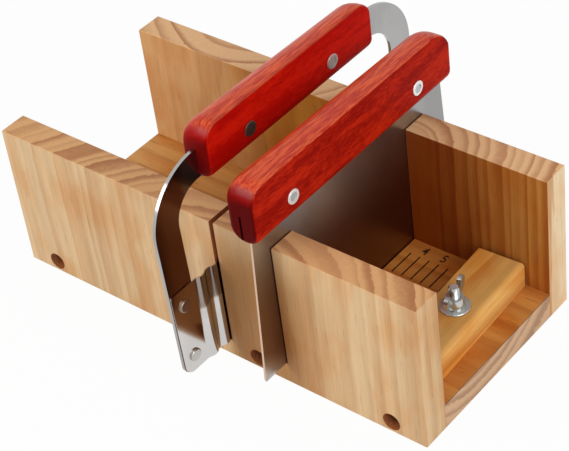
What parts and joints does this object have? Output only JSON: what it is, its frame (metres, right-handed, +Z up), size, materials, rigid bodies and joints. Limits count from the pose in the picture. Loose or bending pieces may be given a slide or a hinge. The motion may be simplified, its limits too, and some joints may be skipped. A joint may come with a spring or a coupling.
{
  "type": "soap cutter",
  "caption": "Pine soap cutting box with kerfed side walls, a straight and a wavy lift-out cutter with red wooden handles, a ruler in the base and a sliding clamped stop.",
  "frame": {"origin": "middle of the box's underside, on the surface it stands on", "axes": "+X along the box towards the stop, +Y across the box away from the viewer, +Z up"},
  "size_m": [0.2246, 0.1704, 0.1226],
  "materials": {
    "pine_wall": "planed and oiled pine, upright grain",
    "pine_inside": "planed and oiled pine, lengthwise grain",
    "pine_stop": "planed golden pine",
    "red_wood": "red stained and lacquered hardwood",
    "blade_steel": "polished stainless sheet",
    "rivet_metal": "satin",
    "screw_steel": "dull",
    "zinc": "bright zinc plate"
  },
  "bodies": {
    "box": {"base_board": "pine_inside", "near_wall": "pine_wall", "far_wall": "pine_wall", "near_wall_screws": "screw_steel", "far_wall_screws": "screw_steel"},
    "straight_cutter": {"straight_blade": "blade_steel", "straight_handle": "red_wood", "straight_near_rivet_sleeve": "rivet_metal", "straight_near_rivet_pin": "rivet_metal", "straight_far_rivet_sleeve": "rivet_metal", "straight_far_rivet_pin": "rivet_metal"},
    "wavy_cutter": {"wavy_bow": "blade_steel", "wavy_blade": "blade_steel", "wavy_handle": "red_wood", "wavy_near_rivet_sleeve": "rivet_metal", "wavy_near_rivet_pin": "rivet_metal", "wavy_far_rivet_sleeve": "rivet_metal", "wavy_far_rivet_pin": "rivet_metal", "near_leg_rivets": "rivet_metal", "far_leg_rivets": "rivet_metal"},
    "stop": {"stop_block": "pine_stop", "stop_bolt": "zinc", "stop_washer": "zinc"},
    "nut": {"wing_nut": "zinc"}
  },
  "joints": [
    {"name": "straight_lift", "type": "slide", "parent": "box", "child": "straight_cutter", "axis": [0, 0, 1], "range_m": [0, 0.07]},
    {"name": "wavy_lift", "type": "slide", "parent": "box", "child": "wavy_cutter", "axis": [0, 0, 1], "range_m": [0, 0.07]},
    {"name": "stop_slide", "type": "slide", "parent": "box", "child": "stop", "axis": [1, 0, 0], "range_m": [-0.035, 0.002]},
    {"name": "wing_nut_turn", "type": "hinge", "parent": "stop", "child": "nut", "pos_m": [0.0912, 0, 0.03], "axis": [0, 0, 1], "range_deg": [0, 720]}
  ]
}
